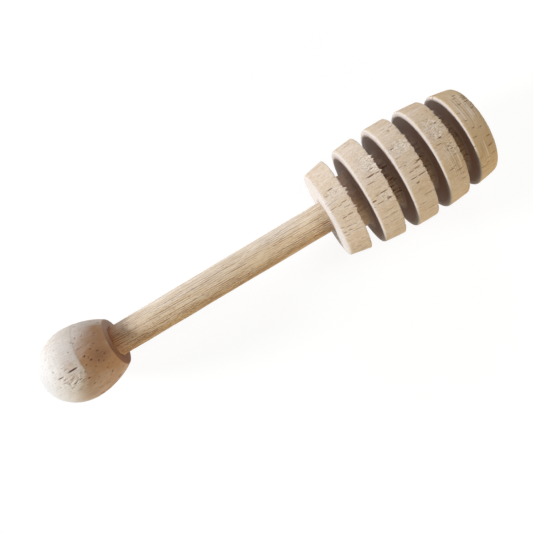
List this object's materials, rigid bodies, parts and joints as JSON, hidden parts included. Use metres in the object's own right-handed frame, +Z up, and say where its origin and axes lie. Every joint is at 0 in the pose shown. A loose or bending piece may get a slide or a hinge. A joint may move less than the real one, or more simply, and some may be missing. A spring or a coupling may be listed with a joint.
{
  "type": "honey dipper",
  "caption": "Small wooden honey dipper lying on its side: a barrel-shaped grooved head on a straight dowel handle with an egg-shaped end knob.",
  "frame": {"origin": "on the surface that the dipper lies on, under the middle of its length", "axes": "+X from the end knob towards the grooved head, +Z up; the dipper's own axis rises towards the head by the lean that the fatter head gives it"},
  "size_m": [0.077, 0.0168, 0.017],
  "materials": {
    "head_wood": "bare turned wood, pale, with short dark pores along the grain",
    "dowel_wood": "bare dowel stock, fine straight grain lines along the handle",
    "knob_wood": "bare turned wood, pale, lightly sanded"
  },
  "bodies": {
    "root": {"dipper_head": "head_wood", "handle_dowel": "dowel_wood", "end_knob": "knob_wood"}
  },
  "joints": []
}
